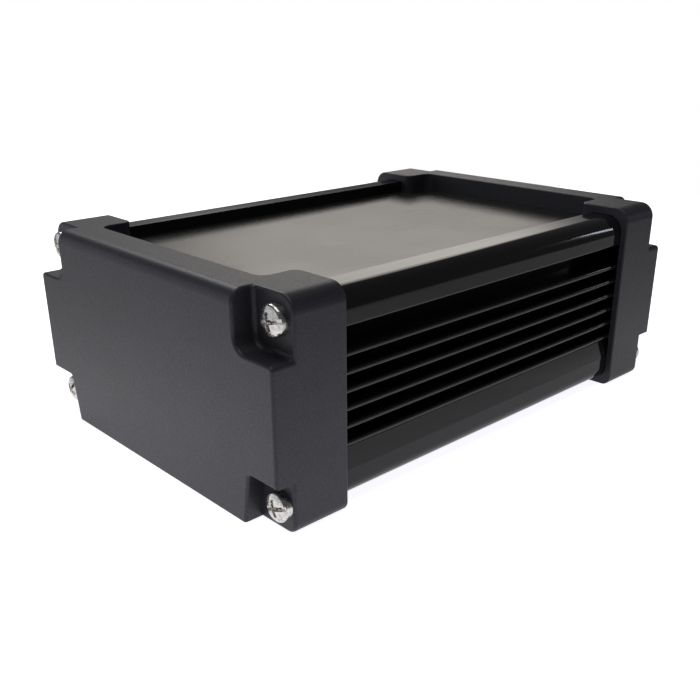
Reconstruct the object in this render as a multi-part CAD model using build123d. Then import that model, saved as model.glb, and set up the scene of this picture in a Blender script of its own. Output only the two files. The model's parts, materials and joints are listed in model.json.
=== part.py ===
from build123d import *
import math
import os

# Micro inverter in a finned aluminium tube housing with two cast end caps.
# Millimetres. X runs along the tube, from the plain front cap to the rear cap with the sockets, and Z is up.
# The pieces are drawn with X = 0 halfway between the two outer cap faces. On saving they are moved so that
# the origin is the middle of the underside of the whole length, sockets included.

# ---------------------------------------------------------------- driving sizes, case
CASE_LENGTH = 166.8          # over the two end caps, without the sockets
CAP_WIDTH = 113.2
CAP_HEIGHT = 60.0
CAP_DEPTH = 22.6             # how far a cap reaches along the tube
CAP_WALL = 3.0               # end wall of a cap
RIDGE_DEPTH = 12.0           # top bar between the two corner blocks
BLOCK_WIDTH = 18.0           # corner block over each rail
UPPER_SHELF = 6.6            # upper screw shelf, behind the outer face
LOWER_SHELF = 5.1            # lower screw shelf, behind the outer face
UPPER_NOTCH_WIDTH = 14.1
UPPER_NOTCH_HEIGHT = 14.9
LOWER_NOTCH_TOP_WIDTH = 11.2
LOWER_NOTCH_FOOT_WIDTH = 13.5
LOWER_NOTCH_HEIGHT = 14.4
CAP_UPPER_RADIUS = 4.5
CAP_LOWER_RADIUS = 3.0
UPPER_NOTCH_RADIUS = 4.0
LOWER_NOTCH_RADIUS = 1.2
TOP_EDGE_ROUND = 3.6         # outer top edge of a cap
FACE_EDGE_ROUND = 0.8        # the other edges of its outer face
FOOT_EDGE_ROUND = 0.4        # and the one along its underside
UPPER_SHELF_ROUND = 0.8      # outer edges of the two screw shelves
LOWER_SHELF_ROUND = 1.0
NOTCH_HOLLOW = 1.2           # hollow corners where an upper shelf meets the walls of its notch
SILL_ROUND = 1.2             # outer edge of the floor of an upper notch
RIM_ROUND = 0.4              # edge of its open side
BAR_HOLLOW = 3.0             # plan corners between the top bar and the corner blocks
BLOCK_ROUND = 2.6

# ---------------------------------------------------------------- driving sizes, tube
TUBE_WIDTH = 108.8
TUBE_FOOT = 2.4
TUBE_TOP = 57.4
TUBE_UPPER_CORNER = 5.2
TUBE_LOWER_CORNER = 3.8
RECESS_FLOOR = 53.2          # bottom of the shallow channel along the top
RAIL_INNER = 43.2            # half width of that channel
BAND_FOOT = 48.3             # lower edge of the plain band above the fins
FIN_DEPTH = 7.5
FIN_COUNT = 6
FIN_PITCH = 4.78
FIN_TOP_CENTRE = 41.4
FIN_TIP = 1.5
FIN_ROOT = 2.1
FIN_TIP_ROUND = 0.65
FOOT_BAND_TOP = 10.2         # upper edge of the upright face below the fins
FOOT_SLOPE = (53.3, 16.1)    # y, z of the top of the steep slope above that face
FOOT_SHOULDER = 15.6         # and its height at the tube wall
SIDE_WALL = 2.2
FLOOR_WALL = 2.5
ROOF_WALL = 2.4
CAVITY_ROUND = 1.0
SINK = 0.4                   # how far a rib or pad is sunk into the wall it grows from
PLATE_THICK = 0.6            # blank plate that fills the channel

# ---------------------------------------------------------------- driving sizes, fasteners and seal
GASKET = 1.0
FIT = 0.15                   # clearance all round between the tube and a cap
SCREW_THREAD = 1.6           # radius of an M4 screw where it has cut its own thread
SCREW_PORT = 1.65
SCREW_CLEARANCE = 2.2
SCREW_HEAD = 4.0
SCREW_HEAD_HEIGHT = 3.1
SCREW_LENGTH = 14.0
UPPER_SCREW = (51.0, 53.5)
LOWER_SCREW = (52.0, 7.0)
FIRST_TURN = 12.0            # how far the slot of the first cap screw is turned

# ---------------------------------------------------------------- driving sizes, circuit board
BOARD_THICK = 1.6
BOARD_FOOT = 13.0
BOARD_LENGTH = 138.0
GUIDE_REACH = 2.4            # card guide ribs on the side walls
GUIDE_RIB = 1.3
PIN = 0.4
PIN_HOLE = 0.55
PIN_REACH = 1.4              # solder side length of a pin below the board

# ---------------------------------------------------------------- driving sizes, rear sockets
DC_POSITIVE = (-30.0, 32.0)  # y, z of each axis on the rear cap
DC_NEGATIVE = (-6.0, 32.0)
AC_SOCKET = (22.0, 30.0)
VENT = (-18.0, 14.0)
LIGHT = (6.0, 17.6)
EARTH = (46.5, 30.0)
SEAL = 1.0
DC_THREAD = 6.0
DC_FLANGE = 9.5
DC_NOSE = 6.5
DC_NOSE_LENGTH = 17.0
DC_BORE = 4.2
DC_NUT_FLATS = 16.0
AC_THREAD = 9.0
AC_FLANGE = 13.0
AC_NOSE = 10.5
AC_NOSE_LENGTH = 14.0
AC_BORE = 8.6
AC_NUT_FLATS = 22.0
AC_PIN_RING = 4.5
FLANGE_THICK = 3.5
NUT_THICK = 4.0
WIRE = 1.3
WIRE_HOLE = 1.4
WIRE_DROP_X = 64.0           # where the internal leads turn down to the terminal blocks
ENTRY_HEIGHT = 20.0
BLOCK_FACE = 60.0            # wire side of the two terminal blocks

# ---------------------------------------------------------------- sizes, transistors on the side walls
PAD_FOOT = 19.0              # raised flat on the inside of each side wall
PAD_TOP = 36.0
PAD_THICK = 1.6
STRIP_THICK = 0.4
TAB_THICK = 1.3
PACKAGE_THICK = 4.5
CLAMP_THICK = 2.0
CLAMP_SCREW = 1.4
TRANSISTOR_PLACES = (-40.0, -24.0, -8.0, 8.0)
CLAMP_SCREW_PLACES = (-32.0, -16.0, 0.0)
CLAMP_HEIGHT = 27.0
CLAMP_BORE_REACH = 1.6       # bore of a clamp screw into the side wall, behind the pad

# ---------------------------------------------------------------- sizes that follow
HALF = CASE_LENGTH / 2
HALF_W = CAP_WIDTH / 2
NEAR = 0.01                  # two places closer than this are the same place
SILL = CAP_HEIGHT - UPPER_NOTCH_HEIGHT     # floor of an upper notch
TUBE_END = UPPER_SHELF + 2.2 + GASKET      # tube end measured from a cap's outer face
LAND = TUBE_END - GASKET                   # cap land that presses on the gasket
TUBE_HALF = HALF - TUBE_END
OUTER = TUBE_WIDTH / 2
ROOT = OUTER - FIN_DEPTH
INNER = ROOT - SIDE_WALL
CAVITY_FOOT = TUBE_FOOT + FLOOR_WALL
CAVITY_TOP = RECESS_FLOOR - ROOF_WALL
BOARD_TOP = BOARD_FOOT + BOARD_THICK
ROOM_REACH = INNER - 5.2
PAD_FACE = INNER - PAD_THICK
PACKAGE_BACK = PAD_FACE - STRIP_THICK

SOCKET_REACH = SEAL + FLANGE_THICK + DC_NOSE_LENGTH
ORIGIN_SHIFT = SOCKET_REACH / 2

pin_holes = []               # every lead that passes through the main board: x, y


def save(name, shape):
    """Write one node, moved to the shared origin. A list keeps its members as separate solids."""
    if isinstance(shape, list):
        shape = Compound(children=shape)
    shape = Pos(-ORIGIN_SHIFT, 0, 0) * shape
    shape.label = name
    export_step(shape, "parts/" + name + ".step")


def box(x0, x1, y0, y1, z0, z1):
    """Block between six planes."""
    middle = ((x0 + x1) / 2, (y0 + y1) / 2, (z0 + z1) / 2)
    return Pos(*middle) * Box(x1 - x0, y1 - y0, z1 - z0)


def across(y, z, x0, x1, radius):
    """Round bar along X."""
    return Pos(x0, y, z) * extrude(Plane.YZ * Circle(radius), x1 - x0)


def upright(x, y, z0, z1, radius):
    """Round bar along Z."""
    return Pos(x, y, z0) * extrude(Circle(radius), z1 - z0)


def pins(points, top):
    """Leads from a component down through the board, one bar for each point."""
    bars = []
    for x, y in points:
        pin_holes.append((x, y))
        bars.append(upright(x, y, BOARD_FOOT - PIN_REACH, top, PIN))
    return bars


def join(shapes):
    """Fuse a list into one solid."""
    result = shapes[0]
    for shape in shapes[1:]:
        result = result + shape
    return result


# ================================================================ tube housing
def tube_outline(grow):
    """Outside of the tube without its fins: rounded block with the shallow channel along the top."""
    middle_z = (TUBE_TOP + TUBE_FOOT) / 2
    outer = Pos(0, middle_z) * Rectangle(TUBE_WIDTH + 2 * grow, TUBE_TOP - TUBE_FOOT + 2 * grow)
    outer = fillet(outer.vertices().filter_by(lambda corner: corner.Y > middle_z), TUBE_UPPER_CORNER + grow)
    outer = fillet(outer.vertices().filter_by(lambda corner: corner.Y < middle_z), TUBE_LOWER_CORNER + grow)
    channel_width = 2 * (RAIL_INNER - grow)
    channel_height = CAP_HEIGHT - RECESS_FLOOR
    channel = Pos(0, RECESS_FLOOR + grow + channel_height / 2) * Rectangle(channel_width, channel_height)
    return outer - channel


def fin_gaps():
    """The open spaces beside and between the fins on the +Y side, down to the tube wall."""
    far = OUTER + 1
    slope = (FIN_ROOT - FIN_TIP) / 2
    gaps = []
    above = BAND_FOOT
    above_root = BAND_FOOT
    for number in range(FIN_COUNT):
        centre = FIN_TOP_CENTRE - number * FIN_PITCH
        top_tip = centre + FIN_TIP / 2
        top_root = top_tip + slope
        gaps.append(Polygon((ROOT, above_root), (OUTER, above), (far, above),
                            (far, top_tip), (OUTER, top_tip), (ROOT, top_root), align=None))
        above = centre - FIN_TIP / 2
        above_root = above - slope
    gaps.append(Polygon((ROOT, above_root), (OUTER, above), (far, above), (far, FOOT_BAND_TOP),
                        (OUTER, FOOT_BAND_TOP), FOOT_SLOPE, (ROOT, FOOT_SHOULDER), align=None))
    return gaps


def extruded_housing():
    profile = tube_outline(0)
    for gap in fin_gaps():
        profile = profile - gap - mirror(gap, Plane.YZ)
    cavity_height = CAVITY_TOP - CAVITY_FOOT
    cavity = RectangleRounded(2 * INNER, cavity_height, CAVITY_ROUND)
    profile = profile - Pos(0, CAVITY_FOOT + cavity_height / 2) * cavity
    for side in (-1, 1):
        for y, z in (UPPER_SCREW, LOWER_SCREW):
            profile = profile - Pos(side * y, z) * Circle(SCREW_PORT)
        for foot in (BOARD_FOOT - FIT - GUIDE_RIB, BOARD_TOP + FIT):
            rib = Rectangle(GUIDE_REACH + SINK, GUIDE_RIB)
            profile = profile + Pos(side * (INNER - (GUIDE_REACH - SINK) / 2), foot + GUIDE_RIB / 2) * rib
        pad = Rectangle(PAD_THICK + SINK, PAD_TOP - PAD_FOOT)
        profile = profile + Pos(side * (INNER - (PAD_THICK - SINK) / 2), (PAD_FOOT + PAD_TOP) / 2) * pad
    body = Pos(-TUBE_HALF, 0, 0) * extrude(Plane.YZ * profile, 2 * TUBE_HALF)
    tips = body.edges().filter_by(Axis.X).filter_by(
        lambda edge: abs(abs(edge.center().Y) - OUTER) < NEAR
        and FOOT_BAND_TOP + NEAR < edge.center().Z < BAND_FOOT + NEAR)
    body = fillet(tips, FIN_TIP_ROUND)
    for x in CLAMP_SCREW_PLACES:
        for side in (-1, 1):
            bore = Plane((x, side * (PAD_FACE - 1), CLAMP_HEIGHT), z_dir=(0, side, 0))
            body = body - extrude(bore * Circle(CLAMP_SCREW + 0.05), 1 + PAD_THICK + CLAMP_BORE_REACH)
    return body


def top_plate():
    """Blank plate lying in the channel: full width between the corner blocks, narrower up to the end bars."""
    gap = 0.3
    wide = RectangleRounded(CASE_LENGTH - 2 * CAP_DEPTH - 2 * gap, 2 * (RAIL_INNER - gap), 2.0)
    long = RectangleRounded(CASE_LENGTH - 2 * RIDGE_DEPTH - 2 * gap, 2 * (HALF_W - BLOCK_WIDTH - gap), 3.4)
    return Pos(0, 0, RECESS_FLOOR) * extrude(wide + long, PLATE_THICK)


# ================================================================ end caps
def cap_outline():
    """Full cross outline of a cap: larger radii above than below."""
    outline = Pos(0, CAP_HEIGHT / 2) * Rectangle(CAP_WIDTH, CAP_HEIGHT)
    upper = outline.vertices().filter_by(lambda corner: corner.Y > CAP_HEIGHT / 2)
    outline = fillet(upper, CAP_UPPER_RADIUS)
    lower = outline.vertices().filter_by(lambda corner: corner.Y < 0.01)
    return fillet(lower, CAP_LOWER_RADIUS)


def cap_plan():
    """Top view of a cap above the channel floor: a thin bar between two deep corner blocks."""
    inside = HALF_W - BLOCK_WIDTH
    beyond = HALF_W + 1
    plan = Polygon((0, -beyond), (CAP_DEPTH, -beyond), (CAP_DEPTH, -inside), (RIDGE_DEPTH, -inside),
                   (RIDGE_DEPTH, inside), (CAP_DEPTH, inside), (CAP_DEPTH, beyond), (0, beyond), align=None)
    hollow_corners = plan.vertices().filter_by(
        lambda corner: abs(corner.X - RIDGE_DEPTH) < NEAR)
    plan = fillet(hollow_corners, BAR_HOLLOW)
    block_corners = plan.vertices().filter_by(
        lambda corner: abs(corner.X - CAP_DEPTH) < NEAR and abs(abs(corner.Y) - inside) < NEAR)
    return fillet(block_corners, BLOCK_ROUND)


def notch_cutter(side, reach):
    """Corner notches of the outer face, open to the side and to the top or the underside."""
    far = HALF_W + 5
    above = CAP_HEIGHT + 5
    inside = HALF_W - UPPER_NOTCH_WIDTH
    upper = Polygon((inside, SILL), (far, SILL), (far, above), (inside, above), align=None)
    corner = upper.vertices().filter_by(lambda point: point.X < inside + NEAR and point.Y < SILL + NEAR)
    upper = fillet(corner, UPPER_NOTCH_RADIUS)
    lower = Polygon((HALF_W - LOWER_NOTCH_FOOT_WIDTH, -1), (far, -1), (far, LOWER_NOTCH_HEIGHT),
                    (HALF_W - LOWER_NOTCH_TOP_WIDTH, LOWER_NOTCH_HEIGHT), align=None)
    tip = lower.vertices().filter_by(lambda point: point.X < HALF_W and point.Y > LOWER_NOTCH_HEIGHT - NEAR)
    lower = fillet(tip, LOWER_NOTCH_RADIUS)
    cutter = extrude(Plane.YZ * upper, reach + 1) + extrude(Plane.YZ * lower, reach + 1)
    return Pos(-1, 0, 0) * (cutter if side > 0 else mirror(cutter, Plane.XZ))


def shelf_slab(shelf, edge_round):
    """Full outline of a cap from a screw shelf back to the open side, rounded along the shelf."""
    slab = Pos(shelf, 0, 0) * extrude(Plane.YZ * cap_outline(), CAP_DEPTH - shelf)
    edge = slab.edges().filter_by(lambda edge: abs(edge.center().X - shelf) < NEAR)
    return fillet(edge, edge_round)


def raised_face():
    """The cross-shaped part that stands in front of the four shelves."""
    reach = UPPER_SHELF + UPPER_SHELF_ROUND + 1
    face = extrude(Plane.YZ * cap_outline(), reach)
    for side in (-1, 1):
        face = face - notch_cutter(side, reach)
    sills = face.edges().filter_by(Axis.X).filter_by(
        lambda edge: abs(abs(edge.center().Y) - HALF_W) < NEAR and abs(edge.center().Z - SILL) < NEAR)
    face = fillet(sills, SILL_ROUND)
    top_front = face.edges().filter_by(
        lambda edge: abs(edge.center().X) < NEAR and abs(edge.center().Z - CAP_HEIGHT) < NEAR)
    face = fillet(top_front, TOP_EDGE_ROUND)
    outline = face.edges().filter_by(
        lambda edge: edge.center().X < NEAR and NEAR < edge.center().Z < CAP_HEIGHT - TOP_EDGE_ROUND)
    return fillet(outline, FACE_EDGE_ROUND)


def in_notch_corner(edge):
    """Whether an edge is a hollow corner of an upper notch, where its shelf meets the sill and the wall."""
    if any(abs(end.X - UPPER_SHELF) > NEAR for end in edge.vertices()):
        return False
    middle = edge.center()
    inside = HALF_W - UPPER_NOTCH_WIDTH
    along_sill = abs(middle.Z - SILL) < NEAR and abs(middle.Y) > inside
    beside_wall = abs(middle.Y) < inside + UPPER_NOTCH_RADIUS / 2 and SILL < middle.Z < CAP_HEIGHT - NEAR
    return along_sill or beside_wall


def blank_cap():
    """Cap with its outer face at X = 0 and its open side towards +X."""
    beyond = HALF_W + 1
    lower_slab = shelf_slab(LOWER_SHELF, LOWER_SHELF_ROUND) & box(
        0, CAP_DEPTH + 1, -beyond, beyond, -1, LOWER_NOTCH_HEIGHT)
    body = shelf_slab(UPPER_SHELF, UPPER_SHELF_ROUND) + raised_face() + lower_slab
    lower_part = box(-1, CAP_DEPTH + 1, -beyond, beyond, -1, RECESS_FLOOR)
    upper_part = Pos(0, 0, RECESS_FLOOR) * extrude(cap_plan(), CAP_HEIGHT - RECESS_FLOOR + 1)
    body = body & (lower_part + upper_part)
    body = round_cap_edges(body)
    # pocket for the tube end, then the shallow room behind the end wall
    body = body - Pos(LAND, 0, 0) * extrude(Plane.YZ * tube_outline(FIT), CAP_DEPTH)
    body = body - box(CAP_WALL, LAND + 1, -ROOM_REACH, ROOM_REACH, CAVITY_FOOT + 2, CAVITY_TOP - 1.5)
    for side in (-1, 1):
        for y, z in (UPPER_SCREW, LOWER_SCREW):
            body = body - across(side * y, z, 1, LAND + 1, SCREW_CLEARANCE)
    return body


def round_cap_edges(body):
    """Rounded edges of the underside, of the open side and in the corners of the notches."""
    foot_edge = body.edges().filter_by(lambda edge: edge.center().X < NEAR and edge.center().Z < NEAR)
    body = fillet(foot_edge, FOOT_EDGE_ROUND)
    open_rim = body.edges().filter_by(
        lambda edge: abs(edge.center().X - CAP_DEPTH) < NEAR and abs(edge.center().Z - RECESS_FLOOR) > 0.1)
    body = fillet(open_rim, RIM_ROUND)
    return fillet(body.edges().filter_by(in_notch_corner), NOTCH_HOLLOW)


def rear_cap():
    """The same casting turned round, drilled for the sockets, vent, light pipe and earth screw."""
    body = Pos(HALF, 0, 0) * mirror(blank_cap(), Plane.YZ)
    through = HALF + 1
    for (y, z), radius in ((DC_POSITIVE, DC_THREAD + 0.1), (DC_NEGATIVE, DC_THREAD + 0.1),
                           (AC_SOCKET, AC_THREAD + 0.1), (VENT, 3.1), (LIGHT, 1.6)):
        body = body - across(y, z, HALF - CAP_WALL - 1, through, radius)
    return body - across(*EARTH, HALF - 7, through, SCREW_PORT)


# ================================================================ gaskets and cap screws
def gasket():
    """Flat seal that covers the cut end of the tube, inner face at X = 0."""
    sheet = tube_outline(0) - Pos(0, (CAVITY_TOP + CAVITY_FOOT) / 2) * RectangleRounded(
        2 * INNER, CAVITY_TOP - CAVITY_FOOT, CAVITY_ROUND)
    for side in (-1, 1):
        for y, z in (UPPER_SCREW, LOWER_SCREW):
            sheet = sheet - Pos(side * y, z) * Circle(SCREW_CLEARANCE)
    return extrude(Plane.YZ * sheet, GASKET)


def drive_recess(head_radius, head_height):
    """Screw drive, open at X = 0 and pointing along +X: a slot across the head and a tapered cross."""
    wide = 0.28 * head_radius
    reach = 1.15 * head_radius
    blades = Rectangle(reach, wide) + Rectangle(wide, reach)
    cross = extrude(Plane.YZ * blades, 0.62 * head_height, taper=12)
    return cross + box(0, 0.4 * head_height, -head_radius, head_radius, -wide / 2, wide / 2)


def pan_screw(radius, head_radius, head_height, length, turn=0.0):
    """Pan-head screw along +X with the underside of its domed head at X = 0."""
    head = Pos(-head_height, 0, 0) * extrude(Plane.YZ * Circle(head_radius), head_height)
    dome = 2 * head_radius
    head = head & (Pos(dome - head_height, 0, 0) * Sphere(dome))
    crown = head.edges().filter_by(GeomType.CIRCLE).sort_by(Axis.X)[0]
    head = fillet(crown, 0.2 * head_radius)
    head = head - Pos(-head_height, 0, 0) * drive_recess(head_radius, head_height)
    return Rot(turn, 0, 0) * (head + extrude(Plane.YZ * Circle(radius), length))


def cap_screws(front):
    """Four pan-head screws of one cap, through the shelves into the tube, each stopped at its own turn."""
    screws = []
    for side in (-1, 1):
        for (y, z), shelf in ((UPPER_SCREW, UPPER_SHELF), (LOWER_SCREW, LOWER_SHELF)):
            turn = -FIRST_TURN - 4 * len(screws) ** 2
            screw = pan_screw(SCREW_THREAD, SCREW_HEAD, SCREW_HEAD_HEIGHT, SCREW_LENGTH, turn)
            screw = Pos(shelf - HALF, side * y, z) * screw
            screws.append(screw if front else mirror(screw, Plane.YZ))
    return screws


# ================================================================ rear sockets
def hex_nut(place, flats, bore, thick, face):
    """Nut round an X axis, one side against a face, growing towards the inside of the case."""
    outline = RegularPolygon(flats / 2, 6, major_radius=False)
    nut = Pos(face - thick, *place) * extrude(Plane.YZ * outline, thick)
    return nut - across(*place, face - thick - 1, face + 1, bore)


def ring(place, x0, x1, inner, outer):
    """Washer or seal round an X axis."""
    return across(*place, x0, x1, outer) - across(*place, x0 - 1, x1 + 1, inner)


def dc_socket(place):
    """Single-pole panel socket: thread through the cap wall, hexagonal flange and a round nose."""
    flange_face = HALF + SEAL
    stub = across(*place, HALF - CAP_WALL - 8, flange_face, DC_THREAD)
    flange = Pos(flange_face, *place) * extrude(
        Plane.YZ * RegularPolygon(DC_FLANGE - 0.9, 6, major_radius=False), FLANGE_THICK)
    nose = across(*place, flange_face, flange_face + FLANGE_THICK + DC_NOSE_LENGTH, DC_NOSE)
    for groove in (4.0, 9.0):
        at = flange_face + FLANGE_THICK + groove
        nose = nose - ring(place, at, at + 1.6, DC_NOSE - 0.9, DC_NOSE + 1)
    body = stub + flange + nose
    tip = flange_face + FLANGE_THICK + DC_NOSE_LENGTH
    body = body - across(*place, flange_face + 2, tip + 1, DC_BORE)
    return body - across(*place, HALF - CAP_WALL - 9, tip, 2.1)


def dc_contact(place):
    """Turned contact with a crimp barrel at its inner end."""
    pin = across(*place, HALF - CAP_WALL - 6, HALF + 13, 2.0)
    barrel = across(*place, HALF - CAP_WALL - 13, HALF - CAP_WALL - 6, 1.9)
    contact = pin + barrel
    nose = contact.edges().filter_by(lambda edge: abs(edge.center().X - HALF - 13) < 0.01)
    contact = fillet(nose, 0.9)
    return contact - across(*place, HALF - CAP_WALL - 14, HALF - CAP_WALL - 9, WIRE_HOLE)


def ac_socket():
    """Three-pole panel socket: threaded stub, round flange with flats and an open nose."""
    flange_face = HALF + SEAL
    stub = across(*AC_SOCKET, HALF - CAP_WALL - 9, flange_face, AC_THREAD)
    flange = across(*AC_SOCKET, flange_face, flange_face + FLANGE_THICK, AC_FLANGE)
    y, z = AC_SOCKET
    flange = flange & box(HALF, HALF + 10, y - AC_FLANGE, y + AC_FLANGE, z - 11.5, z + 11.5)
    tip = flange_face + FLANGE_THICK + AC_NOSE_LENGTH
    nose = across(*AC_SOCKET, flange_face, tip, AC_NOSE)
    for turn in range(3):
        at = flange_face + FLANGE_THICK + 3 + 3.2 * turn
        nose = nose - ring(AC_SOCKET, at, at + 1.2, AC_NOSE - 0.6, AC_NOSE + 1)
    body = stub + flange + nose
    body = body - across(*AC_SOCKET, flange_face + 2, tip + 1, AC_BORE)
    return body - across(*AC_SOCKET, HALF - CAP_WALL - 10, tip, AC_THREAD - 1.8)


def ac_contact_places():
    """Line, neutral and earth, 120 degrees apart."""
    y, z = AC_SOCKET
    places = []
    for angle in (210, 330, 90):
        turn = math.radians(angle)
        places.append((y + AC_PIN_RING * math.cos(turn), z + AC_PIN_RING * math.sin(turn)))
    return places


def ac_insert():
    """Insulating disc that carries the three contacts."""
    shoulder = HALF + SEAL + 2
    insert = across(*AC_SOCKET, HALF - CAP_WALL - 7, shoulder, AC_THREAD - 1.9)
    insert = insert + across(*AC_SOCKET, shoulder, shoulder + 2.5, AC_BORE - 0.1)
    for place in ac_contact_places():
        insert = insert - across(*place, HALF - 20, HALF + 20, 1.3)
    return insert


def ac_contacts():
    contacts = []
    back = HALF - CAP_WALL - 7
    for place in ac_contact_places():
        pin = across(*place, back, HALF + 13, 1.2)
        barrel = across(*place, back - 6, back, 1.9)
        contacts.append(pin + barrel - across(*place, back - 7, back - 2, WIRE_HOLE))
    return contacts


def vent_plug():
    """Breather with a domed head and a slim threaded neck."""
    head = across(*VENT, HALF, HALF + 3, 5.2)
    dome = head.edges().filter_by(lambda edge: abs(edge.center().X - HALF - 3) < 0.01)
    head = fillet(dome, 1.4)
    plug = head + across(*VENT, HALF - CAP_WALL - 4.5, HALF, 3.0)
    return plug - across(*VENT, HALF - CAP_WALL - 5, HALF + 1.5, 1.2)


def light_pipe():
    """Clear rod that brings the status light to the rear face."""
    rod = across(*LIGHT, 67.6, HALF, 1.5)
    return rod + across(*LIGHT, HALF, HALF + 0.8, 2.3)


def earth_screw():
    screw = pan_screw(SCREW_THREAD, SCREW_HEAD, SCREW_HEAD_HEIGHT, 7.0)
    return Pos(HALF + 0.8, *EARTH) * mirror(screw, Plane.YZ)


def earth_washer():
    """Toothed washer under the earth screw."""
    washer = ring(EARTH, HALF, HALF + 0.8, 2.2, 4.6)
    for number in range(12):
        turn = math.radians(30 * number)
        y = EARTH[0] + 4.7 * math.cos(turn)
        z = EARTH[1] + 4.7 * math.sin(turn)
        washer = washer - across(y, z, HALF - 1, HALF + 2, 0.5)
    return washer


# ================================================================ terminal blocks and internal leads
def terminal_block(poles, margin):
    """Screw terminals with one wire entry and one screw well for each pole."""
    y0 = min(poles) - margin
    y1 = max(poles) + margin
    block = box(BLOCK_FACE - 9, BLOCK_FACE, y0, y1, BOARD_TOP, BOARD_TOP + 11)
    slope = box(BLOCK_FACE - 3, BLOCK_FACE + 1, y0 - 1, y1 + 1, BOARD_TOP + 8.5, BOARD_TOP + 12)
    block = block - slope
    leads = []
    for y in poles:
        block = block - across(y, ENTRY_HEIGHT, BLOCK_FACE - 4.5, BLOCK_FACE + 1, WIRE_HOLE)
        block = block - upright(BLOCK_FACE - 6.2, y, BOARD_TOP + 9, BOARD_TOP + 12, 1.9)
        leads = leads + pins([(BLOCK_FACE - 6, y)], BOARD_TOP)
    return join([block] + leads)


def lead(start, pole):
    """Insulated wire from a contact barrel down into a terminal: straight runs joined by tangent arcs."""
    contact_y, contact_z, barrel_end = start
    points = [Vector(barrel_end + 3.0, contact_y, contact_z), Vector(WIRE_DROP_X, contact_y, contact_z),
              Vector(WIRE_DROP_X, pole, ENTRY_HEIGHT), Vector(BLOCK_FACE - 4.0, pole, ENTRY_HEIGHT)]
    runs = [points[index + 1] - points[index] for index in range(3)]
    radii = []
    for before, after in ((runs[0], runs[1]), (runs[1], runs[2])):
        half_turn = math.radians(before.get_angle(after)) / 2
        radii.append(0.45 * min(before.length, after.length) / math.tan(half_turn))
    path = FilletPolyline(*points, radius=radii)
    section = Plane(origin=points[0], z_dir=runs[0]) * Circle(WIRE)
    wire = sweep(section, path)
    expected = math.pi * WIRE ** 2 * path.length
    print("lead radii", [round(radius, 2) for radius in radii], "volume over section x length",
          round(wire.volume / expected, 4))
    return wire


# ================================================================ parts on the main board
def can_capacitor(x, y, radius, height):
    """Electrolytic can with a crimp groove above its seal and a rounded top."""
    can = upright(x, y, BOARD_TOP, BOARD_TOP + height, radius)
    top = can.edges().filter_by(lambda edge: abs(edge.center().Z - BOARD_TOP - height) < 0.01)
    can = fillet(top, 1.0)
    groove = upright(x, y, BOARD_TOP + 2.5, BOARD_TOP + 3.7, radius + 1) - upright(
        x, y, BOARD_TOP + 2, BOARD_TOP + 4, radius - 0.5)
    return join([can - groove] + pins([(x - 3.75, y), (x + 3.75, y)], BOARD_TOP))


def boxed_part(x0, x1, y0, y1, height, leads, round_edge):
    """Moulded box with rounded upright edges and leads into the board."""
    body = box(x0, x1, y0, y1, BOARD_TOP, BOARD_TOP + height)
    body = fillet(body.edges().filter_by(Axis.Z), round_edge)
    return join([body] + pins(leads, BOARD_TOP))


def drum_core(x, y):
    """Ferrite drum: two discs on a waist."""
    foot_disc = upright(x, y, BOARD_TOP, BOARD_TOP + 3, 8)
    waist = upright(x, y, BOARD_TOP + 3, BOARD_TOP + 15, 3.5)
    top_disc = upright(x, y, BOARD_TOP + 15, BOARD_TOP + 18, 8)
    return join([foot_disc, waist, top_disc] + pins([(x - 5, y), (x + 5, y)], BOARD_TOP))


def drum_winding(x, y):
    coil = upright(x, y, BOARD_TOP + 3.1, BOARD_TOP + 14.9, 7.4)
    return coil - upright(x, y, BOARD_TOP, BOARD_TOP + 18, 3.6)


TOROID = (24.0, 18.0)


def toroid_core():
    """Ferrite ring of the common-mode choke, lying on its side above the board."""
    return upright(*TOROID, BOARD_TOP + 2.5, BOARD_TOP + 10.5, 9) - upright(
        *TOROID, BOARD_TOP, BOARD_TOP + 12, 5)


def toroid_windings():
    """Two windings, each wrapped round not quite half of the ring."""
    section = Rectangle(7.2, 11.2) - Rectangle(4.2, 8.2)
    halves = []
    for start in (20, 200):
        place = Pos(*TOROID, BOARD_TOP + 6.5) * Rot(0, 0, start)
        shell = revolve(Plane.XZ * Pos(7, 0) * section, Axis.Z, 140)
        halves.append(place * shell)
    angles = (30, 150, 210, 330)
    leads = []
    for angle in angles:
        turn = math.radians(angle)
        place = (TOROID[0] + 9.85 * math.cos(turn), TOROID[1] + 9.85 * math.sin(turn))
        leads = leads + pins([place], BOARD_TOP + 6)
    return [join([halves[0]] + leads[:2]), join([halves[1]] + leads[2:])]


# transformer: two E cores round one bobbin, the winding axis along X
TRANSFORMER_X = -14.0
CORE_HALF_LENGTH = 15.0
CORE_HALF_WIDTH = 18.0
CORE_HALF_HEIGHT = 6.0
CENTRE_LEG = 5.0             # half width of the middle leg
OUTER_LEG = 5.0
CORE_BACK = 5.0
AXIS_HEIGHT = BOARD_TOP + 14.0


def transformer_core():
    """Two E-shaped ferrite halves that meet at mid length."""
    halves = []
    air_gap = 0.02
    for side in (-1, 1):
        block = box(0, CORE_HALF_LENGTH - air_gap, -CORE_HALF_WIDTH, CORE_HALF_WIDTH,
                    -CORE_HALF_HEIGHT, CORE_HALF_HEIGHT)
        for window in (-1, 1):
            inner = window * CENTRE_LEG
            outer = window * (CORE_HALF_WIDTH - OUTER_LEG)
            block = block - box(-1, CORE_HALF_LENGTH - CORE_BACK, min(inner, outer), max(inner, outer),
                                -CORE_HALF_HEIGHT - 1, CORE_HALF_HEIGHT + 1)
        if side < 0:
            block = mirror(block, Plane.YZ)
        halves.append(Pos(TRANSFORMER_X + side * air_gap, 0, AXIS_HEIGHT) * block)
    return halves


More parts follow.
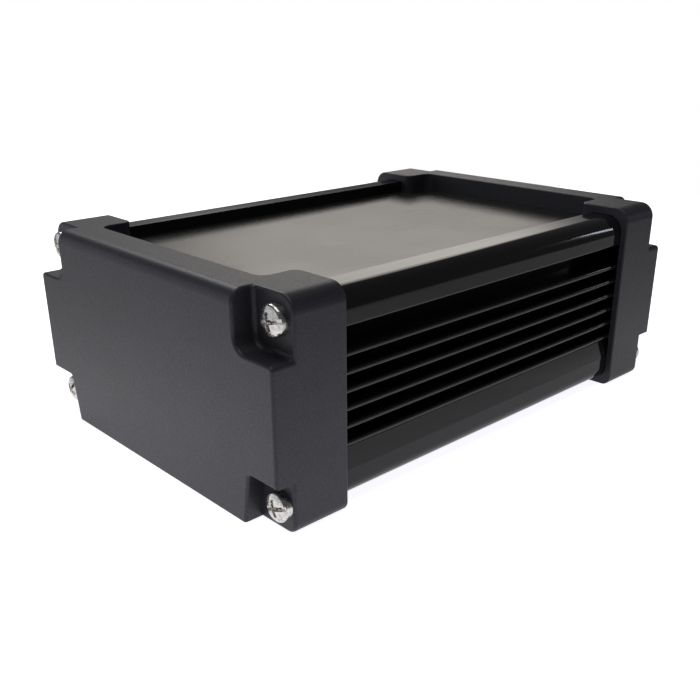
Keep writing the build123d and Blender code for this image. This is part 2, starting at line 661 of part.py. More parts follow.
def rounded_tube(half_length, inner_y, inner_z, outer_y, outer_z, radius):
    """Rectangular tube along X, centred on the transformer."""
    wall = RectangleRounded(2 * outer_y, 2 * outer_z, radius)
    wall = wall - RectangleRounded(2 * inner_y, 2 * inner_z, 0.3)
    return Pos(TRANSFORMER_X - half_length, 0, AXIS_HEIGHT) * extrude(Plane.YZ * wall, 2 * half_length)


def transformer_bobbin():
    """Winding former: sleeve, two end plates and two feet with pins."""
    sleeve = rounded_tube(9.6, CENTRE_LEG + 0.1, CORE_HALF_HEIGHT + 0.1, 6.2, 7.2, 0.6)
    pieces = [sleeve]
    for side in (-1, 1):
        plate = box(8.6, 9.6, -12.6, 12.6, -12.6, 12.6) - box(8, 10, -5.1, 5.1, -6.1, 6.1)
        foot = box(8.6, 11.6, -12.6, 12.6, -14.0, -11.5)
        piece = plate + foot
        if side < 0:
            piece = mirror(piece, Plane.YZ)
        pieces.append(Pos(TRANSFORMER_X, 0, AXIS_HEIGHT) * piece)
        row = [(TRANSFORMER_X + side * 10.2, y) for y in (-10, -5, 0, 5, 10)]
        pieces = pieces + pins(row, BOARD_TOP)
    return join(pieces)


def transistors(side):
    """Four tabbed power packages with three leads each, backs towards the side wall."""
    packages = []
    for x in TRANSISTOR_PLACES:
        tab = box(x - 5, x + 5, PACKAGE_BACK - TAB_THICK, PACKAGE_BACK, 20.5, 35.5)
        moulding = box(x - 5, x + 5, PACKAGE_BACK - PACKAGE_THICK, PACKAGE_BACK - TAB_THICK, 20.5, 30.0)
        tab = tab - extrude(Plane((x, PACKAGE_BACK + 1, 32.6), z_dir=(0, -1, 0)) * Circle(1.8), 4)
        body = tab + moulding
        places = [(x + step, side * (PACKAGE_BACK - 2.6)) for step in (-2.54, 0, 2.54)]
        if side < 0:
            body = mirror(body, Plane.XZ)
        packages.append(join([body] + pins(places, 20.5)))
    return packages


def insulating_strips():
    """Thin thermally conducting strip between the packages and each side wall, holed for the clamp screws."""
    strips = []
    for side in (-1, 1):
        strip = box(-47, 15, PACKAGE_BACK, PAD_FACE, 19.5, 36)
        for x in CLAMP_SCREW_PLACES:
            hole = Plane((x, PACKAGE_BACK - 1, CLAMP_HEIGHT), z_dir=(0, 1, 0)) * Circle(1.7)
            strip = strip - extrude(hole, 3)
        strips.append(strip if side > 0 else mirror(strip, Plane.XZ))
    return strips


def clamp_bars():
    """Spring steel bar that presses four packages against a side wall."""
    front = PACKAGE_BACK - PACKAGE_THICK
    bars = []
    for side in (-1, 1):
        bar = box(-47, 15, front - CLAMP_THICK, front, 23.5, 29.5)
        for x in CLAMP_SCREW_PLACES:
            bar = bar - extrude(Plane((x, front + 1, CLAMP_HEIGHT), z_dir=(0, -1, 0)) * Circle(1.6), 4)
        bars.append(bar if side > 0 else mirror(bar, Plane.XZ))
    return bars


def clamp_screws():
    front = PACKAGE_BACK - PACKAGE_THICK - CLAMP_THICK
    length = INNER - PAD_THICK + 2.8 - front
    screws = []
    for side in (-1, 1):
        for x in CLAMP_SCREW_PLACES:
            screw = Pos(x, side * front, CLAMP_HEIGHT) * Rot(0, 0, 90 * side) * pan_screw(
                CLAMP_SCREW, 2.7, 2.0, length)
            screws.append(screw)
    return screws


def relay():
    return boxed_part(36, 48, 9, 27, 15, [(38, 11), (38, 25), (46, 11), (46, 25)], 0.6)


def varistor():
    """Coated disc standing on two leads."""
    disc = Pos(42, 34, BOARD_TOP + 8) * extrude(Plane.XZ * Circle(6), 3.6)
    rim = disc.edges().filter_by(GeomType.CIRCLE)
    return join([fillet(rim, 1.2)] + pins([(39.5, 32.2), (44.5, 32.2)], BOARD_TOP + 6))


FUSE = (-1.0, 19.8)          # y, z of the cartridge axis


def fuse():
    """Glass cartridge with two metal ends, all one body."""
    glass = across(*FUSE, 47, 67, 2.45)
    return glass + across(*FUSE, 47, 52, 2.6) + across(*FUSE, 62, 67, 2.6)


def fuse_clips():
    """Two sprung clips that hold the cartridge by its ends."""
    clips = []
    for x0 in (48.0, 63.0):
        grip = ring(FUSE, x0, x0 + 3, 2.65, 3.25)
        grip = grip - box(x0 - 1, x0 + 4, FUSE[0] - 1.8, FUSE[0] + 1.8, FUSE[1], FUSE[1] + 5)
        foot = box(x0, x0 + 3, FUSE[0] - 1.5, FUSE[0] + 1.5, BOARD_TOP, FUSE[1] - 2.75)
        clips.append(join([grip, foot] + pins([(x0 + 1.5, FUSE[0])], BOARD_TOP)))
    return clips


def status_led():
    """Side-facing lamp on the rear edge of the board."""
    y, z = LIGHT
    holder = box(60.5, 63.5, y - 2.2, y + 2.2, BOARD_TOP, z + 2.4)
    lamp = across(y, z, 63.5, 67.2, 1.5)
    tip = lamp.edges().filter_by(lambda edge: abs(edge.center().X - 67.2) < 0.01)
    return join([holder + fillet(tip, 1.2)] + pins([(62, y - 1.27), (62, y + 1.27)], BOARD_TOP))


CONTROL_X = -58.6


def control_board():
    """Upright daughter board with the measuring and control circuits."""
    return box(CONTROL_X, CONTROL_X + 1.2, -28, 28, BOARD_TOP + 2.5, 45)


def control_header():
    """Angled pin strip that joins the control board to the main board."""
    strip = box(CONTROL_X + 1.2, CONTROL_X + 4.0, -20.3, 20.3, BOARD_TOP, BOARD_TOP + 7)
    row = [(CONTROL_X + 2.6, -19.05 + 2.54 * number) for number in range(16)]
    return join([strip] + pins(row, BOARD_TOP))


def microcontroller():
    """Flat square package with leads along two edges, on the front of the control board."""
    chip = box(CONTROL_X - 1.4, CONTROL_X - 0.2, -5, 5, 26, 36)
    legs = []
    for number in range(10):
        y = -4.05 + 0.9 * number
        for z0, z1 in ((24.8, 26.2), (35.8, 37.2)):
            legs.append(box(CONTROL_X - 0.6, CONTROL_X, y - 0.2, y + 0.2, z0, z1))
    return join([chip, box(CONTROL_X - 0.3, CONTROL_X, -4.6, 4.6, 26.2, 35.8)] + legs)


def main_board():
    """Board that slides in the card guides, drilled for every lead."""
    half_width = INNER - 0.3
    x1 = 68.0
    board = box(x1 - BOARD_LENGTH, x1, -half_width, half_width, BOARD_FOOT, BOARD_TOP)
    drills = Compound(children=[upright(x, y, BOARD_FOOT - 1, BOARD_TOP + 1, PIN_HOLE) for x, y in pin_holes])
    return board - drills


# ================================================================ all nodes
os.makedirs("parts", exist_ok=True)

save("extruded_housing", extruded_housing())
save("top_plate", top_plate())
save("front_end_cap", Pos(-HALF, 0, 0) * blank_cap())
save("rear_end_cap", rear_cap())
save("front_gasket", Pos(-TUBE_HALF - GASKET, 0, 0) * gasket())
save("rear_gasket", Pos(TUBE_HALF, 0, 0) * gasket())
save("front_cap_screws", cap_screws(True))
save("rear_cap_screws", cap_screws(False))

INSIDE_FACE = HALF - CAP_WALL
save("dc_positive_socket", dc_socket(DC_POSITIVE))
save("dc_negative_socket", dc_socket(DC_NEGATIVE))
save("dc_positive_contact", dc_contact(DC_POSITIVE))
save("dc_negative_contact", dc_contact(DC_NEGATIVE))
dc_seals = [ring(place, HALF, HALF + SEAL, DC_THREAD + 0.1, 8.2) for place in (DC_POSITIVE, DC_NEGATIVE)]
save("dc_socket_seals", dc_seals)
save("dc_socket_nuts", [hex_nut(place, DC_NUT_FLATS, DC_THREAD + 0.05, NUT_THICK, INSIDE_FACE)
                        for place in (DC_POSITIVE, DC_NEGATIVE)])
save("ac_socket", ac_socket())
save("ac_insert", ac_insert())
save("ac_contacts", ac_contacts())
save("ac_socket_seal", ring(AC_SOCKET, HALF, HALF + SEAL, AC_THREAD + 0.1, 11.2))
save("ac_socket_nut", hex_nut(AC_SOCKET, AC_NUT_FLATS, AC_THREAD + 0.05, NUT_THICK, INSIDE_FACE))
save("vent_plug", vent_plug())
save("vent_nut", hex_nut(VENT, 9.0, 3.05, 2.5, INSIDE_FACE))
save("light_pipe", light_pipe())
save("earth_screw", earth_screw())
save("earth_washer", earth_washer())

DC_POLES = (-26.0, -13.0)
AC_POLES = (12.0, 28.0, 20.0)
save("dc_terminal_block", terminal_block(DC_POLES, 5.0))
save("ac_terminal_block", terminal_block(AC_POLES, 5.0))
DC_BARREL_END = HALF - CAP_WALL - 13
AC_BARREL_END = HALF - CAP_WALL - 13
save("dc_positive_lead", lead((*DC_POSITIVE, DC_BARREL_END), DC_POLES[0]))
save("dc_negative_lead", lead((*DC_NEGATIVE, DC_BARREL_END), DC_POLES[1]))
AC_LEADS = ("ac_line_lead", "ac_neutral_lead", "ac_earth_lead")
for name, place, pole in zip(AC_LEADS, ac_contact_places(), AC_POLES):
    save(name, lead((*place, AC_BARREL_END), pole))

save("input_capacitors", [can_capacitor(x, y, 8.0, 25.0) for x in (20.0, 38.0) for y in (-24.0, -6.0)])
save("dc_link_capacitors", [boxed_part(-44, -34, 1, 17, 20, [(-39, 3), (-39, 15)], 0.8),
                            boxed_part(-44, -34, -17, -1, 20, [(-39, -3), (-39, -15)], 0.8)])
save("filter_capacitor", boxed_part(14, 32, 29, 34.5, 12, [(17, 31.8), (29, 31.8)], 0.8))
save("transformer_core", transformer_core())
save("transformer_bobbin", transformer_bobbin())
save("primary_winding", rounded_tube(8.5, 6.3, 7.3, 9.2, 9.9, 2.0))
save("secondary_winding", rounded_tube(8.5, 9.3, 10.0, 12.2, 12.3, 3.0))
save("input_choke_core", drum_core(-44.0, -26.0))
save("input_choke_winding", drum_winding(-44.0, -26.0))
save("output_choke_core", drum_core(-44.0, 26.0))
save("output_choke_winding", drum_winding(-44.0, 26.0))
save("common_mode_choke_core", toroid_core())
save("common_mode_choke_windings", toroid_windings())
save("switching_transistors", transistors(-1))
save("bridge_transistors", transistors(1))
save("insulating_strips", insulating_strips())
save("clamp_bars", clamp_bars())
save("clamp_screws", clamp_screws())
save("grid_relay", relay())
save("surge_varistor", varistor())
save("fuse", fuse())
save("fuse_clips", fuse_clips())
save("status_led", status_led())
save("control_board", control_board())
save("control_header", control_header())
save("microcontroller", microcontroller())
save("main_circuit_board", main_board())
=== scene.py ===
import json
import math

import bpy
from mathutils import Matrix, Vector


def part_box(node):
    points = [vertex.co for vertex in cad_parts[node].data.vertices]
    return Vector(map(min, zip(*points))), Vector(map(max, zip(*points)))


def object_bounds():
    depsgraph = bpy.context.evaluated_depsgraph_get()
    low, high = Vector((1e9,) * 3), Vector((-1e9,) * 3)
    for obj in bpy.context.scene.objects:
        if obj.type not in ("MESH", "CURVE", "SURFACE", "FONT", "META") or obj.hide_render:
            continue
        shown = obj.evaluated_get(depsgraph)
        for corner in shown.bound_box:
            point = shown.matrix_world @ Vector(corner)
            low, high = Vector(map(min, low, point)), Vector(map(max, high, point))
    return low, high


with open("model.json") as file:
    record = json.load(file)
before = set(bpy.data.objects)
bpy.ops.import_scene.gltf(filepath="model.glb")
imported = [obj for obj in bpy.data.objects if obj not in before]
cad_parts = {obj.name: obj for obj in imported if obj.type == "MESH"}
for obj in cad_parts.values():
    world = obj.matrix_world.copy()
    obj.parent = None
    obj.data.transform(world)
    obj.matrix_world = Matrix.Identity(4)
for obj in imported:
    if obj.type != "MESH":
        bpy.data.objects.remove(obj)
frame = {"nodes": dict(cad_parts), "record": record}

cad_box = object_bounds()

MM = 0.001
NOISE_LOW = 0.3              # a noise pattern stays mostly between these two values
NOISE_HIGH = 0.7

# ---------------------------------------------------------------- stage and light, lengths in metres
FLOOR_RADIUS = 0.42
FLOOR_SIDES = 96
FLOOR_DARK = (0.90, 0.90, 0.90)
FLOOR_LIGHT = (0.92, 0.92, 0.92)
FLOOR_GLOW_COLOUR = (0.96, 0.95, 1.0, 1)
FRONT_POOL_CENTRE = Vector((cad_box[0][0], -0.035, 0))
FRONT_POOL_FADE = (0.05, 0.24)
FRONT_POOL_GLOW = 0.90
FAR_FLOOR_GLOW = 0.10
REAR_POOL_CENTRE = Vector((cad_box[1][0] + 0.08, 0.10, 0))
REAR_POOL_FADE = (0.10, 0.22)
REAR_POOL_GLOW = 0.6
SEEN_FLOOR_GLOW = 0.95       # the floor's glow for the camera itself

ROOM_LEVEL = 0.10
ROOM_COLOUR = (0.93, 0.96, 1.0, 1)
BACKDROP_LEVEL = 1.80
BACKDROP_COLOUR = (1.0, 0.94, 0.87, 1)
BACKDROP_FOOT = (0.18, 0.225)          # sine of the elevation over which it begins
BACKDROP_TOP = (0.42, 0.62)            # and over which it ends
BACKDROP_RIGHT = Vector((-0.515, 0.857, 0))    # square to the right edge of the backdrop
BACKDROP_RIGHT_FADE = (-0.03, 0.08)
BACKDROP_LEFT = Vector((0.88, -0.47, 0))       # and to its left edge
BACKDROP_LEFT_FADE = (-0.06, 0.16)
SCREEN_LEVEL = 0.7                     # a low pale glow past the front cap, on the far side
SCREEN_COLOUR = (0.92, 0.94, 1.0, 1)
SCREEN_WAY = Vector((-0.75, 0.62, 0.20)).normalized()
SCREEN_FADE = (0.60, 0.92)
SCREEN_TOP = (0.25, 0.42)

LIGHT_TARGET = Vector(((cad_box[0][0] + cad_box[1][0]) / 2, 0, 0.03))
LAMP_BLUE = (0.85, 0.92, 1.0)

# ---------------------------------------------------------------- camera
CAMERA_PLACE = Vector((-1.7972, -3.2964, 1.8932))    # in cap heights, from the front cap's outer face
CAMERA_TURN = 0.8220         # radians from the tube's own direction towards the far side
CAMERA_TILT = 0.4021         # radians below level
CAMERA_LEAN = -0.0055        # radians off upright
SENSOR_WIDTH = 36.0
FOCAL_LENGTH = 44.67
LENS_SHIFT = 0.0663


# ---------------------------------------------------------------- node trees
class Nodes:
    """Short calls that build a node tree."""

    def __init__(self, tree):
        self.tree = tree

    def add(self, kind, **settings):
        node = self.tree.nodes.new(kind)
        for name, value in settings.items():
            setattr(node, name, value)
        return node

    def link(self, source, target):
        self.tree.links.new(source, target)

    def put(self, target, value):
        """Feed a socket from another socket or with a plain value."""
        if isinstance(value, bpy.types.NodeSocket):
            self.link(value, target)
        else:
            target.default_value = value

    def maths(self, operation, first, second):
        node = self.add("ShaderNodeMath", operation=operation)
        self.put(node.inputs[0], first)
        self.put(node.inputs[1], second)
        return node.outputs[0]

    def measure(self, operation, vector, fixed):
        """Distance or dot product of a vector and a fixed one."""
        node = self.add("ShaderNodeVectorMath", operation=operation)
        self.link(vector, node.inputs[0])
        node.inputs[1].default_value = fixed
        return node.outputs["Value"]

    def ramp(self, value, low, high, at_low, at_high, shape="LINEAR"):
        """Value mapped from the range low..high to at_low..at_high, clamped."""
        node = self.add("ShaderNodeMapRange", clamp=True, interpolation_type=shape)
        self.link(value, node.inputs["Value"])
        for name, limit in (("From Min", low), ("From Max", high), ("To Min", at_low), ("To Max", at_high)):
            self.put(node.inputs[name], limit)
        return node.outputs["Result"]

    def seen_by_camera(self):
        """1 for what the camera sees directly, 0 for light that lands on other surfaces."""
        return self.add("ShaderNodeLightPath").outputs["Is Camera Ray"]


class Finish(Nodes):
    """A material with a Principled shader and the patterns that feed it."""

    def __init__(self, name):
        self.material = bpy.data.materials.new(name)
        self.material.use_nodes = True
        super().__init__(self.material.node_tree)
        self.shader = self.tree.nodes["Principled BSDF"]
        self.position = self.add("ShaderNodeTexCoord").outputs["Object"]

    def stretched(self, factors):
        """Position multiplied axis by axis, for grain that runs one way."""
        node = self.add("ShaderNodeMapping")
        self.link(self.position, node.inputs["Vector"])
        node.inputs["Scale"].default_value = factors
        return node.outputs["Vector"]

    def noise(self, size, detail=2.0, roughness=0.5, vector=None, distortion=0.0):
        """Soft noise whose lumps are about size metres across, from 0 to 1."""
        node = self.add("ShaderNodeTexNoise")
        self.link(vector or self.position, node.inputs["Vector"])
        node.inputs["Scale"].default_value = 1.0 / size
        node.inputs["Detail"].default_value = detail
        node.inputs["Roughness"].default_value = roughness
        node.inputs["Distortion"].default_value = distortion
        return node.outputs["Fac"]

    def cells(self, size, vector=None):
        """Distance pattern of scattered cells about size metres across."""
        node = self.add("ShaderNodeTexVoronoi")
        self.link(vector or self.position, node.inputs["Vector"])
        node.inputs["Scale"].default_value = 1.0 / size
        return node.outputs["Distance"]

    def grade(self, noise, at_low=0, at_high=1):
        """A noise spread over a wider range."""
        return self.ramp(noise, NOISE_LOW, NOISE_HIGH, at_low, at_high)

    def blend(self, value, first, second):
        """Colour between first and second as value goes from 0 to 1."""
        node = self.add("ShaderNodeMix", data_type="RGBA")
        self.put(node.inputs["Factor"], value)
        for target, colour in ((node.inputs[6], first), (node.inputs[7], second)):
            self.put(target, colour if isinstance(colour, bpy.types.NodeSocket) else (*colour, 1.0))
        return node.outputs[2]

    def bump(self, height, depth, before=None):
        """Surface relief: height 0..1 is depth metres deep."""
        node = self.add("ShaderNodeBump")
        self.link(height, node.inputs["Height"])
        node.inputs["Distance"].default_value = depth
        node.inputs["Strength"].default_value = 1.0
        if before is not None:
            self.link(before, node.inputs["Normal"])
        return node.outputs["Normal"]

    def finish(self, colour, roughness, normal=None, metallic=0.0, **fixed):
        """Feed the shader; fixed names its other sockets, with _ for each space."""
        self.put(self.shader.inputs["Base Color"], colour)
        self.put(self.shader.inputs["Roughness"], roughness)
        if normal is not None:
            self.link(normal, self.shader.inputs["Normal"])
        self.shader.inputs["Metallic"].default_value = metallic
        for name, value in fixed.items():
            self.shader.inputs[name.replace("_", " ")].default_value = value
        return self.material


# ---------------------------------------------------------------- materials
def powder_coat(name):
    """Charcoal powder coat on the castings: a fine grain whose relief glitters under the lamps, with lighter
    specks painted in as glints.
    """
    g = Finish(name)
    cloud = g.noise(14 * MM, 3.0)
    grain = g.noise(0.45 * MM, 3.0, 0.65)
    dark = (0.0145, 0.0142, 0.0200)
    light = (0.0190, 0.0185, 0.0255)
    # painted highlight: lighter specks that stand in for the glints of the coat's sparkle
    painted_glint = (0.052, 0.053, 0.066)
    colour = g.blend(g.grade(cloud), dark, light)
    # painted glints: the grain's highest specks are lightened towards the glint colour
    colour = g.blend(g.ramp(grain, 0.35, 0.75, 0, 0.35), colour, painted_glint)
    relief = g.bump(g.noise(1.1 * MM), 0.03 * MM)
    relief = g.bump(grain, 0.05 * MM, relief)
    return g.finish(colour, g.grade(grain, 0.50, 0.36), relief, IOR=1.5, Specular_IOR_Level=0.36)


def anodised_extrusion(name):
    """Black anodised aluminium with faint die lines along the tube."""
    g = Finish(name)
    along = g.stretched((0.006, 1.0, 1.0))
    lines = g.noise(0.35 * MM, 3.0, 0.6, along)
    broad = g.noise(2.6 * MM, vector=along)
    dark = (0.0062, 0.0056, 0.0064)
    light = (0.0092, 0.0084, 0.0095)
    relief = g.bump(lines, 0.002 * MM)
    relief = g.bump(broad, 0.008 * MM, relief)
    colour = g.blend(g.grade(broad), dark, light)
    return g.finish(colour, g.grade(lines, 0.06, 0.10), relief, IOR=1.5, Specular_IOR_Level=0.25)


def satin_plate(name):
    """Satin black sheet: an even, slightly rolled surface."""
    g = Finish(name)
    along = g.stretched((0.02, 1.0, 1.0))
    lines = g.noise(0.5 * MM, 2.0, 0.6, along)
    waves = g.noise(22 * MM, 1.0)
    dark = (0.0085, 0.0082, 0.0078)
    light = (0.0115, 0.0110, 0.0104)
    roughness = g.ramp(waves, 0.35, 0.65, 0.25, 0.28)
    relief = g.bump(lines, 0.002 * MM)
    relief = g.bump(waves, 0.02 * MM, relief)
    return g.finish(g.blend(g.grade(lines), dark, light), roughness, relief, IOR=1.55)


def plated_steel(name, tint, low, high):
    """Bright plated steel with a fine uneven skin and hairline marks."""
    g = Finish(name)
    skin = g.noise(0.9 * MM, 2.0, 0.55, distortion=0.6)
    marks = g.noise(0.16 * MM, 2.0, 0.6, g.stretched((1.0, 0.12, 1.0)))
    dull = tuple(0.62 * c for c in tint)
    colour = g.blend(g.ramp(skin, 0.35, 0.65, 0, 1), dull, tint)
    relief = g.bump(skin, 0.08 * MM)
    relief = g.bump(marks, 0.004 * MM, relief)
    return g.finish(colour, g.grade(marks, low, high), relief, metallic=1.0)


def moulded(name, colour, low=0.42, high=0.55, grain=0.5 * MM, depth=0.02 * MM, spread=0.25, **fixed):
    """Moulded plastic or rubber: fine tool texture and a slight change of tone."""
    g = Finish(name)
    fine = g.noise(grain, 2.0, 0.6)
    cloud = g.noise(9 * MM)
    dark = tuple(c * (1 - spread) for c in colour)
    light = tuple(min(1.0, c * (1 + spread)) for c in colour)
    tone = g.blend(g.grade(cloud), dark, light)
    return g.finish(tone, g.grade(fine, low, high), g.bump(fine, depth), **fixed)


def clear_plastic(name):
    """Clear rod with faint flow marks."""
    g = Finish(name)
    flow = g.noise(1.5 * MM, vector=g.stretched((0.2, 1.0, 1.0)))
    colour = g.blend(g.grade(flow), (0.80, 0.86, 0.84), (0.92, 0.96, 0.94))
    roughness = g.grade(flow, 0.03, 0.10)
    return g.finish(colour, roughness, g.bump(flow, 0.01 * MM), IOR=1.49, Transmission_Weight=0.9)


def circuit_board(name):
    """Green solder mask over copper areas that show as slightly lighter, raised patches."""
    g = Finish(name)
    weave = g.noise(0.7 * MM, 1.0, vector=g.stretched((1.0, 0.3, 1.0)))
    copper = g.ramp(g.cells(6 * MM), 0.42, 0.46, 1, 0)
    colour = g.blend(copper, (0.010, 0.085, 0.030), (0.020, 0.150, 0.055))
    colour = g.blend(g.ramp(weave, 0.4, 0.7, 0, 0.4), colour, (0.030, 0.180, 0.070))
    return g.finish(colour, g.grade(weave, 0.22, 0.34), g.bump(copper, 0.035 * MM))


def wound_wire(name):
    """Enamelled copper: close turns seen as ridges, with painted shade darkening the grooves between them.
    """
    g = Finish(name)
    turns = g.add("ShaderNodeTexWave", wave_type="BANDS", bands_direction="Z", wave_profile="SIN")
    g.link(g.position, turns.inputs["Vector"])
    turns.inputs["Scale"].default_value = 1 / (2 * MM)
    turns.inputs["Distortion"].default_value = 0.6
    turns.inputs["Detail"].default_value = 1.0
    ridge = turns.outputs["Fac"]
    # painted shade: the copper colour darkens in the grooves between turns
    colour = g.blend(ridge, (0.16, 0.045, 0.015), (0.62, 0.24, 0.09))
    return g.finish(colour, g.ramp(ridge, 0, 1, 0.35, 0.22), g.bump(ridge, 0.25 * MM), metallic=0.8)


def taped_winding(name):
    """Yellow tape in overlapping laps with small creases."""
    g = Finish(name)
    laps = g.cells(5 * MM, g.stretched((0.15, 1.0, 1.0)))
    creases = g.noise(1.4 * MM, 3.0)
    colour = g.blend(g.ramp(laps, 0.2, 0.8, 0, 1), (0.52, 0.38, 0.05), (0.78, 0.62, 0.14))
    return g.finish(colour, g.grade(creases, 0.16, 0.3), g.bump(creases, 0.05 * MM))


SPECIAL = {
    "black_anodised_aluminium": anodised_extrusion,
    "satin_black_plate": satin_plate,
    "charcoal_powder_coat": powder_coat,
    "clear_acrylic": clear_plastic,
    "green_solder_mask": circuit_board,
    "enamelled_copper": wound_wire,
    "taped_winding": taped_winding,
}
# tint, then the roughness of its smooth and its rough marks
PLATED = {
    "nickel_plated_steel": ((0.68, 0.66, 0.63), 0.16, 0.30),
    "tinned_brass": ((0.78, 0.74, 0.62), 0.18, 0.32),
    "spring_steel": ((0.56, 0.55, 0.53), 0.22, 0.38),
}
MOULDED = {
    "grey_silicone": dict(colour=(0.030, 0.030, 0.031), low=0.7, high=0.85),
    "black_nylon": dict(colour=(0.012, 0.012, 0.013), low=0.32, high=0.46, grain=0.35 * MM, depth=0.03 * MM),
    "grey_insert": dict(colour=(0.20, 0.21, 0.22), low=0.38, high=0.5),
    "green_terminal_plastic": dict(colour=(0.02, 0.20, 0.07), low=0.3, high=0.42),
    "red_insulation": dict(colour=(0.42, 0.012, 0.012)),
    "black_insulation": dict(colour=(0.012, 0.012, 0.012)),
    "brown_insulation": dict(colour=(0.12, 0.045, 0.02)),
    "blue_insulation": dict(colour=(0.01, 0.06, 0.30)),
    "earth_insulation": dict(colour=(0.16, 0.38, 0.03), spread=0.6),
    "dark_capacitor_sleeve": dict(colour=(0.012, 0.015, 0.045), low=0.18, high=0.28),
    "yellow_film_case": dict(colour=(0.55, 0.34, 0.03), low=0.28, high=0.4),
    "grey_film_case": dict(colour=(0.20, 0.21, 0.23), low=0.28, high=0.4),
    "dark_ferrite": dict(colour=(0.03, 0.03, 0.032), low=0.5, high=0.7, grain=0.3 * MM, depth=0.04 * MM),
    "bobbin_plastic": dict(colour=(0.02, 0.02, 0.02)),
    "black_epoxy": dict(colour=(0.014, 0.014, 0.014), low=0.45, high=0.6, grain=0.15 * MM),
    "grey_thermal_strip": dict(colour=(0.30, 0.30, 0.32), low=0.7, high=0.85),
    "relay_case": dict(colour=(0.015, 0.04, 0.20), low=0.25, high=0.35),
    "blue_varistor": dict(colour=(0.012, 0.06, 0.28), low=0.2, high=0.3),
    "fuse_glass": dict(colour=(0.70, 0.74, 0.74), low=0.03, high=0.08, Transmission_Weight=0.7),
    "lamp_plastic": dict(colour=(0.35, 0.70, 0.35), low=0.15, high=0.25, Transmission_Weight=0.4),
}
finishes = {name: make(name) for name, make in SPECIAL.items()}
finishes.update({name: plated_steel(name, *look) for name, look in PLATED.items()})
finishes.update({name: moulded(name, **look) for name, look in MOULDED.items()})

slot_of = {row["node"]: row["material_slot"] for row in frame["record"]["subparts"]}
for node_name, node in frame["nodes"].items():
    node.data.materials.clear()
    node.data.materials.append(finishes[slot_of[node_name]])


# ---------------------------------------------------------------- stage
def place_in_scene(name, data):
    """New object in the scene that shows a mesh, a lamp or a camera."""
    thing = bpy.data.objects.new(name, data)
    bpy.context.scene.collection.objects.link(thing)
    return thing


def pale_floor():
    """White floor that glows in front of the object and behind it, and looks plain white to the camera."""
    g = Finish("pale_floor")
    colour = g.blend(g.noise(0.25), FLOOR_DARK, FLOOR_LIGHT)

    def pool(centre, fade, glow, beyond):
        """Glow around a place on the floor, fading to the level beyond it."""
        return g.ramp(g.measure("DISTANCE", g.position, centre), *fade, glow, beyond)

    front_pool = pool(FRONT_POOL_CENTRE, FRONT_POOL_FADE, FRONT_POOL_GLOW, FAR_FLOOR_GLOW)
    rear_pool = pool(REAR_POOL_CENTRE, REAR_POOL_FADE, REAR_POOL_GLOW, 0)
    glow = g.ramp(g.seen_by_camera(), 0, 1, g.maths("ADD", front_pool, rear_pool), SEEN_FLOOR_GLOW)
    g.put(g.shader.inputs["Emission Strength"], glow)
    return g.finish(colour, 0.9, Specular_IOR_Level=0.2, Emission_Color=FLOOR_GLOW_COLOUR)


def floor():
    """Round floor under the object; beyond it the camera sees the white of the world."""
    around = [2 * math.pi * step / FLOOR_SIDES for step in range(FLOOR_SIDES)]
    rim = [(FLOOR_RADIUS * math.cos(turn), FLOOR_RADIUS * math.sin(turn), 0) for turn in around]
    mesh = bpy.data.meshes.new("studio_floor")
    mesh.from_pydata(rim, [], [tuple(range(FLOOR_SIDES))])
    mesh.materials.append(pale_floor())
    thing = place_in_scene("studio_floor", mesh)


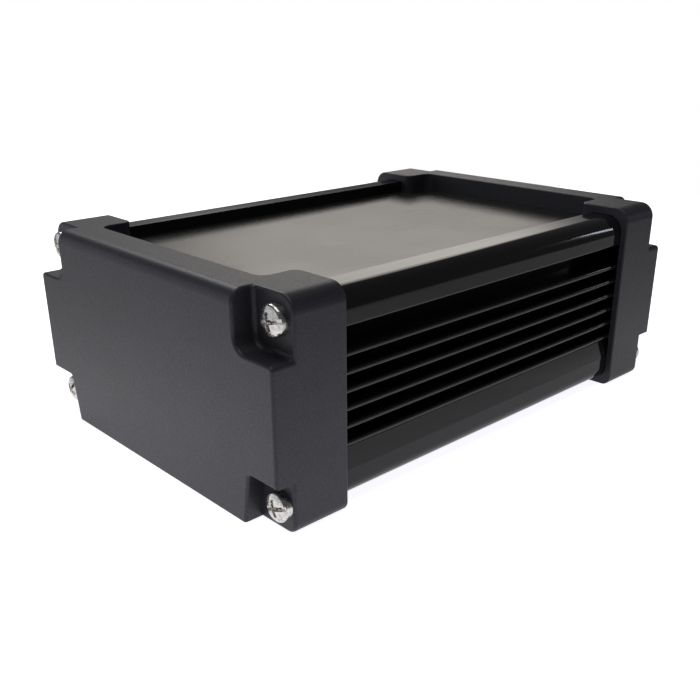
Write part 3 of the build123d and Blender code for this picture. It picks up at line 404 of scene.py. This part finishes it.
def studio_world():
    """Pale backdrop behind the object, a low glow past its front cap, a dim room, white for the camera."""
    world = bpy.data.worlds.new("studio")
    bpy.context.scene.world = world
    world.use_nodes = True
    world.node_tree.nodes.clear()
    w = Nodes(world.node_tree)
    direction = w.add("ShaderNodeTexCoord").outputs["Generated"]
    split = w.add("ShaderNodeSeparateXYZ")
    w.link(direction, split.inputs[0])
    height = split.outputs["Z"]

    def towards(way, fade):
        """1 near a direction, fading to 0 as the cosine goes down through fade."""
        return w.ramp(w.measure("DOT_PRODUCT", direction, way), *fade, 0.0, 1.0, "SMOOTHSTEP")

    def background(strength, colour):
        node = w.add("ShaderNodeBackground")
        node.inputs["Color"].default_value = colour
        w.put(node.inputs["Strength"], strength)
        return node.outputs[0]

    foot = w.ramp(height, *BACKDROP_FOOT, 0.0, 1.0, "SMOOTHSTEP")
    top = w.ramp(height, *BACKDROP_TOP, 1.0, 0.0, "SMOOTHSTEP")
    right = towards(BACKDROP_RIGHT, BACKDROP_RIGHT_FADE)
    left = towards(BACKDROP_LEFT, BACKDROP_LEFT_FADE)
    backdrop = w.maths("MULTIPLY", w.maths("MULTIPLY", right, left), w.maths("MULTIPLY", foot, top))
    below = w.ramp(height, *SCREEN_TOP, 1.0, 0.0, "SMOOTHSTEP")
    screen = w.maths("MULTIPLY", towards(SCREEN_WAY, SCREEN_FADE), below)
    room = background(ROOM_LEVEL, ROOM_COLOUR)
    glows = ((backdrop, BACKDROP_LEVEL, BACKDROP_COLOUR), (screen, SCREEN_LEVEL, SCREEN_COLOUR))
    for share, level, colour in glows:
        both = w.add("ShaderNodeAddShader")
        w.link(room, both.inputs[0])
        w.link(background(w.maths("MULTIPLY", share, level), colour), both.inputs[1])
        room = both.outputs[0]
    choose = w.add("ShaderNodeMixShader")
    w.link(w.seen_by_camera(), choose.inputs[0])
    w.link(room, choose.inputs[1])
    w.link(background(1.0, (1, 1, 1, 1)), choose.inputs[2])
    w.link(choose.outputs[0], w.add("ShaderNodeOutputWorld").inputs["Surface"])


def softbox(name, offset, width, height, power, colour=(1, 1, 1)):
    """Flat lamp of some watts at an offset from the middle of the object, aimed at it."""
    light = bpy.data.lights.new(name, "AREA")
    light.shape = "RECTANGLE"
    light.size = width
    light.size_y = height
    light.energy = power
    light.color = colour
    thing = place_in_scene(name, light)
    thing.location = LIGHT_TARGET + Vector(offset)
    thing.rotation_euler = (-Vector(offset)).to_track_quat("-Z", "Y").to_euler()


floor()
studio_world()
softbox("overhead_panel", offset=(-0.15, -0.05, 0.75), width=0.6, height=0.6, power=2.1)
softbox("rear_window", offset=(0.15, 0.75, 0.80), width=0.22, height=0.22, power=3.0)
softbox("side_lamp", offset=(1.45, -0.86, 0.40), width=0.035, height=0.26, power=0.45, colour=LAMP_BLUE)


# ---------------------------------------------------------------- camera
def camera():
    """Camera in front of the plain cap, to the side of the near fins, held a little off level."""
    cap_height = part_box("front_end_cap")[1][2]
    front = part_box("front_end_cap")[0][0]
    level = math.cos(CAMERA_TILT)
    ahead = Vector((level * math.cos(CAMERA_TURN), level * math.sin(CAMERA_TURN), -math.sin(CAMERA_TILT)))
    right = ahead.cross(Vector((0, 0, 1))).normalized()
    up = right.cross(ahead)
    side = right * math.cos(CAMERA_LEAN) + up * math.sin(CAMERA_LEAN)
    top = up * math.cos(CAMERA_LEAN) - right * math.sin(CAMERA_LEAN)
    data = bpy.data.cameras.new("photo_camera")
    data.sensor_width = SENSOR_WIDTH
    data.lens = FOCAL_LENGTH
    data.shift_y = LENS_SHIFT
    data.clip_start = 0.01
    thing = place_in_scene("photo_camera", data)
    matrix = Matrix((side, top, -ahead)).transposed().to_4x4()
    matrix.translation = Vector((front, 0, 0)) + cap_height * CAMERA_PLACE
    thing.matrix_world = matrix
    bpy.context.scene.camera = thing


camera()
bpy.context.scene.view_settings.view_transform = "Standard"
